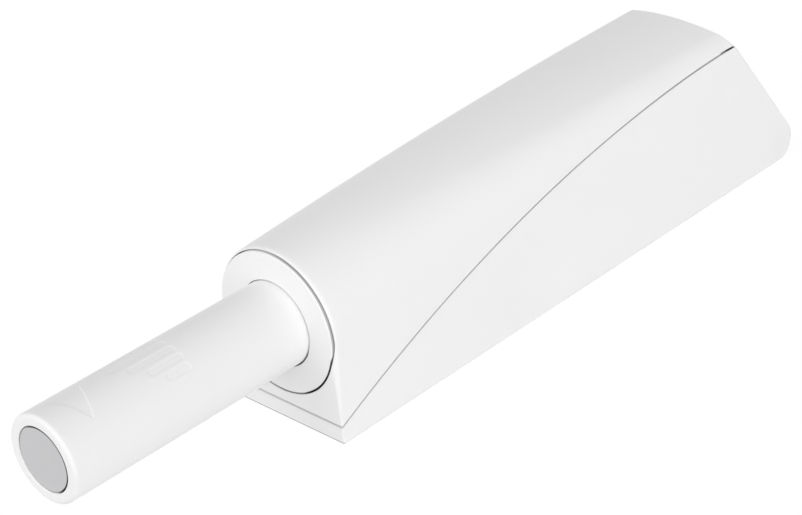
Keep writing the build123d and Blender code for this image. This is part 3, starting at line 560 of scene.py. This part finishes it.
def make_plunger():
    """The plunger: its profile carried round the axis, with the marks pressed into the outside."""
    profile, is_outside = plunger_profile()
    first, last = MARK_FIELD_ANGLES
    fine = np.arange(first, last, np.degrees(MARK_STEP / PLUNGER_RADIUS))
    turn = np.concatenate([fine, np.arange(fine[-1] + COARSE_TURN, first + 360 - LEAST_TURN, COARSE_TURN)])
    x, radius = profile[:, :1], profile[:, 1:]
    radius = radius - np.where(is_outside[:, None], sunk(x, turn[None, :]), 0)
    y, z = radius * np.cos(np.radians(turn)), AXIS_Z + radius * np.sin(np.radians(turn))
    points = np.stack([np.broadcast_to(x, y.shape), y, z], -1)
    plunger = make_object("plunger", points, grid_faces(len(profile), len(turn)))
    return smooth(outward(plunger, WELD), PLUNGER_SHARP_ANGLE)


def make_disc():
    """The strike disc, with a chamfer round its face."""
    along = (disc_low.x, disc_high.x - DISC_CHAMFER, disc_high.x)
    radii = (DISC_RADIUS, DISC_RADIUS, DISC_RADIUS - DISC_CHAMFER)
    return smooth(turned("disc", along, radii, FINE_CIRCLE_STEPS, centre=(0, 0, AXIS_Z)))


def make_spring():
    """The ejector spring, as a soft-shaded copy of the CAD node with a mesh of its own."""
    spring = smooth_copy("spring_coil", "ejector_spring")
    low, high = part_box("ejector_spring")
    joints = frame["record"]["behaviour"]["joints"]
    slide = next(joint for joint in joints if joint["name"] == "plunger_slide")
    stroke = slide["range_m"][1]
    1 - stroke / (high.x - low.x)
    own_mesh(spring)
    return spring


# --------------------------------------------------------------- materials


class Value:
    """A socket's value in a shader, with the operators that shader maths needs."""

    def __init__(self, finish, socket):
        self.finish, self.socket = finish, socket

    def __add__(self, other):
        return self.finish.maths("ADD", self, other)

    def __sub__(self, other):
        return self.finish.maths("SUBTRACT", self, other)

    def __mul__(self, other):
        return self.finish.maths("MULTIPLY", self, other)

    def __rsub__(self, other):
        return self.finish.maths("SUBTRACT", other, self)

    __radd__ = __add__


class Finish:
    """The shader of a material or of the surround, built node by node."""

    def __init__(self, owner, shader="Principled BSDF"):
        owner.use_nodes = True
        self.owner = owner
        self.tree = owner.node_tree
        self.shader = self.tree.nodes[shader]

    def feed(self, socket, value):
        """Links a value to a socket, or sets the socket to a number or a colour."""
        if isinstance(value, Value):
            self.tree.links.new(value.socket, socket)
        else:
            socket.default_value = value

    def fill(self, made, inputs):
        """Feeds the sockets of a node by their names. Underscores are spaces."""
        for key, value in inputs.items():
            self.feed(made.inputs[key.replace("_", " ")], value)

    def node(self, kind, settings=None, **inputs):
        """A node with its settings and its sockets filled."""
        made = self.tree.nodes.new(kind)
        for key, value in (settings or {}).items():
            setattr(made, key, value)
        self.fill(made, inputs)
        return made

    def maths(self, operation, *values):
        """A Math node on values and numbers."""
        made = self.node("ShaderNodeMath", {"operation": operation})
        for socket, value in zip(made.inputs, values):
            self.feed(socket, value)
        return Value(self, made.outputs[0])

    def place(self):
        """The point on the object, in metres."""
        return Value(self, self.node("ShaderNodeTexCoord").outputs["Object"])

    def point(self):
        """The X, Y and Z of the point on the object."""
        split = self.node("ShaderNodeSeparateXYZ", Vector=self.place())
        return [Value(self, split.outputs[axis]) for axis in "XYZ"]

    def noise(self, scale, detail, stretch=(1, 1, 1)):
        """Noise from 0 to 1 with grains of about 1 / scale metres, drawn out along an axis by stretch."""
        mapped = self.node("ShaderNodeMapping", Vector=self.place(), Scale=stretch)
        place = Value(self, mapped.outputs["Vector"])
        made = self.node("ShaderNodeTexNoise", Vector=place, Scale=scale, Detail=detail)
        return Value(self, made.outputs["Fac"])

    def tint(self, amount, first, second):
        """A colour between two, by an amount from 0 to 1."""
        made = self.node("ShaderNodeMix", {"data_type": "RGBA"})
        self.feed(made.inputs[0], amount)
        for socket, colour in ((made.inputs[6], first), (made.inputs[7], second)):
            self.feed(socket, colour if isinstance(colour, Value) else (*colour, 1))
        return Value(self, made.outputs[2])

    def spread(self, amount, low, high):
        """A number between two, by an amount from 0 to 1."""
        return amount * (high - low) + low

    def rise(self, value, low, high):
        """0 up to low and 1 from high on, with a smooth slope between them."""
        settings = {"interpolation_type": "SMOOTHSTEP"}
        made = self.node("ShaderNodeMapRange", settings, Value=value, From_Min=low, From_Max=high)
        return Value(self, made.outputs["Result"])

    def fall(self, value, low, high):
        """1 up to low and 0 from high on, with a smooth slope between them."""
        return 1 - self.rise(value, low, high)

    def length(self, first, second):
        """The length of a vector with two parts."""
        return self.maths("SQRT", first * first + second * second)

    def sector(self, sector, y, up):
        """1 in a sector round the axis and 0 outside it, with a smooth slope between them. Nearness is 1 in
        the direction that the sector faces and 0 in the opposite one."""
        angle, outer, inner = sector
        turn = math.radians(angle)
        along = y * math.cos(turn) + up * math.sin(turn)
        nearness = self.maths("DIVIDE", along, self.length(y, up)) * 0.5 + 0.5
        return self.rise(nearness, outer, inner)

    def relief(self, height, distance, edge_radius=0.0):
        """The surface's normal, raised by a height from 0 to 1 times distance, with softened edges."""
        inputs = {"Height": height, "Distance": distance, "Strength": 1.0}
        if edge_radius:
            edges = self.node("ShaderNodeBevel", {"samples": BEVEL_SAMPLES}, Radius=edge_radius)
            inputs["Normal"] = Value(self, edges.outputs["Normal"])
        return Value(self, self.node("ShaderNodeBump", **inputs).outputs["Normal"])

    def dress(self, **inputs):
        """Fills the main shader and gives its material back."""
        self.fill(self.shader, inputs)
        return self.owner


def new_finish(name):
    """The finish of a new material."""
    return Finish(bpy.data.materials.new(name))


def span(place, fade):
    """The two ends of a fade, which is given by their distances from a place."""
    return place + fade[0], place + fade[1]


def collar_gap_shade(finish, y, up):
    """How much shade is painted in the gap round the collar: black low on the +Y side, grey beside it and
    pale at the top.
    """
    black = finish.sector(COLLAR_BLACK_SECTOR, y, up)
    grey = finish.sector(COLLAR_GREY_SECTOR, y, up) * COLLAR_GREY_SHADE
    return finish.maths("MAXIMUM", black, grey)


def housing_shade(finish):
    """Shade painted into the housing's colour at its gaps: along the seam, in the release slots, round the
    barrel's collar and along the foot of the front face."""
    x, y, z = finish.point()
    up = z - AXIS_Z
    _, end, middle, radius = seam_arc(SEAM_GAP / 2)
    away = finish.maths("ABSOLUTE", finish.length(x - middle[0], z - middle[1]) - radius)
    seam = finish.fall(away, *SEAM_FADE) * SEAM_SHADE
    slot = finish.rise(z, *span(SEAM_REAR_HEIGHT, SLOT_FLOOR_FADE))
    slot = slot * finish.fall(z, *span(SEAM_REAR_HEIGHT + RELEASE_SLOT_HEIGHT, SLOT_ROOF_FADE))
    slot = slot * finish.fall(x, *span(end[0] + RELEASE_SLOT_LENGTH, SLOT_FRONT_FADE))
    opening = finish.fall(finish.length(y, up), *span(OPENING_RADIUS, OPENING_RIM_FADE))
    opening = opening * finish.rise(x, *span(FACE_X - FACE_WALL, OPENING_REAR_FADE))
    opening = opening * finish.fall(x, *span(FACE_X, OPENING_FRONT_FADE))
    opening = opening * collar_gap_shade(finish, y, up)
    # Painted shadow along the foot of the front face, where it stands on the floor.
    foot = finish.fall(z, *FOOT_RISE_FADE) * finish.rise(x, *span(FACE_X, FOOT_BACK_FADE)) * FOOT_SHADE
    return finish.maths("MINIMUM", seam + slot + opening + foot, 1)


def barrel_shade(finish):
    """Shade painted into the colour of the gaps round the barrel's collar and round the plunger."""
    _, y, z = finish.point()
    up = z - AXIS_Z
    radius = finish.length(y, up)
    gap = collar_gap_shade(finish, y, up)
    start = COLLAR_RADIUS - finish.rise(gap, *COLLAR_BLACK_FADE) * COLLAR_BLACK_WIDTH
    collar = finish.rise(radius, *span(start, COLLAR_FADE)) * gap
    low_side = finish.sector(MOUTH_LOW_SECTOR, y, up)
    high_side = finish.sector(MOUTH_HIGH_SECTOR, y, up)
    mouth = PLUNGER_RADIUS + low_side * MOUTH_LOW_WIDTH + MOUTH_WIDTH
    strength = low_side * MOUTH_LOW_SHADE + high_side * MOUTH_HIGH_SHADE + MOUTH_SHADE
    lip = finish.fall(radius - mouth, *MOUTH_FADE) * strength
    return finish.maths("MINIMUM", collar + lip, 1)


def plunger_shade(finish):
    """Shade painted into the colour of the gap round the strike disc, on its upper +Y side."""
    _, y, z = finish.point()
    up = z - AXIS_Z
    inner = finish.fall(finish.length(y, up), *span(POCKET_RADIUS, POCKET_FADE))
    return inner * finish.sector(DISC_SECTOR, y, up)


def moulded_plastic(name, dark, light, roughness, grain, edge_radius, shade=None):
    """Satin moulded plastic: a fine spark-eroded grain, faint clouding, softened edges and, where a shade is
    given, shade painted dark into its gaps.
    """
    finish = new_finish(name)
    clouds = finish.noise(scale=90, detail=2)
    fine = finish.noise(scale=5200, detail=2)
    colour = finish.tint(clouds, dark, light)
    if shade:
        # Painted shade: the colour is darkened towards near black in the gaps.
        colour = finish.tint(shade(finish), colour, PAINTED_SHADE_COLOUR)
    return finish.dress(
        Base_Color=colour,
        Roughness=finish.spread(fine, *roughness),
        Normal=finish.relief(fine, grain, edge_radius),
    )


def bright_steel():
    """Drawn spring steel: bright, with fine lines along the wire."""
    finish = new_finish("bright_steel")
    lines = finish.noise(scale=2600, detail=3, stretch=(0.12, 1, 1))
    return finish.dress(
        Base_Color=finish.tint(lines, (0.56, 0.56, 0.57), (0.72, 0.72, 0.73)),
        Metallic=1.0,
        Roughness=finish.spread(lines, 0.22, 0.38),
        Normal=finish.relief(lines, distance=0.002 * MM),
    )


def buffer_rubber():
    """Soft dark rubber with a dusty bloom."""
    finish = new_finish("buffer_rubber")
    bloom = finish.noise(scale=700, detail=4)
    return finish.dress(
        Base_Color=finish.tint(bloom, (0.035, 0.035, 0.036), (0.06, 0.06, 0.06)),
        Roughness=finish.spread(bloom, 0.72, 0.84),
        Normal=finish.relief(finish.noise(scale=3800, detail=2), distance=0.006 * MM),
    )


def sintered_magnet():
    """Dark sintered magnet with a gritty grain."""
    finish = new_finish("magnet_dark")
    grit = finish.noise(scale=6500, detail=4)
    return finish.dress(
        Base_Color=finish.tint(grit, (0.05, 0.05, 0.055), (0.1, 0.1, 0.105)),
        Metallic=0.6,
        Roughness=finish.spread(grit, 0.45, 0.65),
        Normal=finish.relief(grit, distance=0.008 * MM),
    )


def satin_disc():
    """The strike disc's fine satin grey, with shade painted dark on its chamfer on the upper +Y side."""
    finish = new_finish("disc_grey")
    clouds = finish.noise(scale=260, detail=3)
    _, y, z = finish.point()
    up = z - AXIS_Z
    # The chamfer, where shade is painted dark on the upper +Y side.
    rim = finish.rise(finish.length(y, up), *span(DISC_RADIUS - DISC_CHAMFER, DISC_EDGE_FADE))
    colour = finish.tint(clouds, (0.52, 0.52, 0.53), (0.55, 0.55, 0.56))
    return finish.dress(
        Base_Color=finish.tint(rim * finish.sector(DISC_SECTOR, y, up), colour, PAINTED_SHADE_COLOUR),
        Roughness=finish.spread(finish.noise(scale=4200, detail=2), 0.48, 0.56),
        Normal=finish.relief(finish.noise(scale=5600, detail=2), distance=0.0015 * MM, edge_radius=0.05 * MM),
    )


def make_finishes():
    """The material of each of the record's slots."""
    return {
        "housing_white": moulded_plastic(
            "housing_white",
            dark=(0.866, 0.866, 0.866),
            light=(0.885, 0.885, 0.885),
            roughness=(0.46, 0.51),
            grain=0.0016 * MM,
            edge_radius=0.18 * MM,
            shade=housing_shade,
        ),
        "barrel_white": moulded_plastic(
            "barrel_white",
            dark=(0.875, 0.875, 0.875),
            light=(0.89, 0.89, 0.89),
            roughness=(0.48, 0.53),
            grain=0.0016 * MM,
            edge_radius=0.06 * MM,
            shade=barrel_shade,
        ),
        "plunger_white": moulded_plastic(
            "plunger_white",
            dark=(0.848, 0.848, 0.848),
            light=(0.866, 0.866, 0.866),
            roughness=(0.42, 0.47),
            grain=0.0012 * MM,
            edge_radius=0.05 * MM,
            shade=plunger_shade,
        ),
        "slide_grey": moulded_plastic(
            "slide_grey",
            dark=(0.46, 0.46, 0.455),
            light=(0.5, 0.5, 0.495),
            roughness=(0.4, 0.45),
            grain=0.001 * MM,
            edge_radius=0.05 * MM,
        ),
        "buffer_rubber": buffer_rubber(),
        "bright_steel": bright_steel(),
        "magnet_dark": sintered_magnet(),
        "disc_grey": satin_disc(),
    }


# ------------------------------------------------------------------- stage


def seen_directly(finish):
    """1 for rays from the camera, from a mirror or through glass, and 0 for light that falls on things."""
    rays = finish.node("ShaderNodeLightPath")
    names = ("Is Camera Ray", "Is Glossy Ray", "Is Transmission Ray")
    camera, mirror, glass = (Value(finish, rays.outputs[name]) for name in names)
    return finish.maths("MINIMUM", camera + mirror + glass, 1)


def make_floor():
    """A plain white floor that shows faint shadows."""
    finish = new_finish("floor_white")
    finish.dress(Base_Color=(0.86, 0.86, 0.86, 1), Roughness=0.9)
    glow = finish.node("ShaderNodeEmission", Color=(1, 1, 1, 1), Strength=STAGE_GLOW)
    mix = finish.node("ShaderNodeMixShader", Fac=seen_directly(finish) * (1 - STAGE_SHADOW_SHARE))
    output = finish.tree.nodes["Material Output"]
    finish.tree.links.new(finish.shader.outputs[0], mix.inputs[1])
    finish.tree.links.new(glow.outputs[0], mix.inputs[2])
    finish.tree.links.new(mix.outputs[0], output.inputs["Surface"])
    corners = STAGE_HALF_SIZE * np.array([(-1, -1, 0), (1, -1, 0), (1, 1, 0), (-1, 1, 0)], float)
    floor = make_object("floor", corners, [[0, 1, 2, 3]])
    floor.location.z = -STAGE_DROP
    floor.data.materials.append(finish.owner)


def make_sky():
    """A white surround that lights the part at an even level."""
    world = bpy.data.worlds.new("studio")
    bpy.context.scene.world = world
    finish = Finish(world, "Background")
    finish.dress(Color=(*SKY_COLOUR, 1), Strength=finish.spread(seen_directly(finish), SKY_LEVEL, 1))


def direction(azimuth, elevation):
    """A unit vector towards an azimuth and elevation. Azimuth 0 is towards -Y, and 90 towards +X."""
    a, e = math.radians(azimuth), math.radians(elevation)
    return Vector((math.sin(a) * math.cos(e), -math.cos(a) * math.cos(e), math.sin(e)))


def make_lamp(name, azimuth, elevation, power):
    """A square soft lamp that faces the middle of the housing."""
    lamp = bpy.data.lights.new(name, "AREA")
    lamp.shape = "SQUARE"
    lamp.size = LAMP_SIZE
    lamp.energy = power
    place = bpy.data.objects.new(name, lamp)
    bpy.context.scene.collection.objects.link(place)
    away = direction(azimuth, elevation)
    place.location = CAMERA_TARGET + away * LAMP_DISTANCE
    place.rotation_euler = away.to_track_quat("Z", "Y").to_euler()


def make_camera():
    """The camera looks at its target along one direction, and is rolled about it."""
    lens = bpy.data.cameras.new("camera")
    lens.lens = CAMERA_LENS
    lens.sensor_width = CAMERA_SENSOR_WIDTH
    lens.clip_start = CAMERA_CLIP_START
    camera = bpy.data.objects.new("camera", lens)
    bpy.context.scene.collection.objects.link(camera)
    back = direction(CAMERA_AZIMUTH, CAMERA_ELEVATION)
    right = direction(CAMERA_AZIMUTH + 90, 0)
    up = back.cross(right)
    roll = math.radians(CAMERA_ROLL)
    right, up = right * math.cos(roll) + up * math.sin(roll), up * math.cos(roll) - right * math.sin(roll)
    turn = Matrix((right, up, back)).transposed().to_4x4()
    camera.matrix_world = Matrix.Translation(CAMERA_TARGET + back * CAMERA_DISTANCE) @ turn
    bpy.context.scene.camera = camera


# ------------------------------------------------------------------- build


def dress_nodes(finishes):
    """Gives every CAD node its finish."""
    for part in frame["record"]["subparts"]:
        node = frame["nodes"][part["node"]]
        node.data.materials.clear()
        node.data.materials.append(finishes[part["material_slot"]])


def add_piece(piece, body, slot, finishes, *nodes):
    """A new piece takes a finish, rides on a body and stands for CAD nodes."""
    piece.data.materials.clear()
    piece.data.materials.append(finishes[slot])
    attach(piece, body)
    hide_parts(*nodes)


finishes = make_finishes()
dress_nodes(finishes)
add_piece(make_base(), "housing", "housing_white", finishes, "base_cradle")
add_piece(make_cover(), "housing", "housing_white", finishes, "cover_shell")
add_piece(smooth_copy("barrel_sleeve", "barrel"), "housing", "barrel_white", finishes, "barrel")
add_piece(make_plunger(), "plunger", "plunger_white", finishes, "plunger_tube")
add_piece(make_disc(), "plunger", "disc_grey", finishes, "strike_disc")
add_piece(make_spring(), "housing", "bright_steel", finishes, "ejector_spring")
make_floor()
make_sky()
for name, (azimuth, elevation, power) in LAMPS.items():
    make_lamp(name, azimuth, elevation, power)
make_camera()
bpy.context.scene.view_settings.view_transform = "Standard"
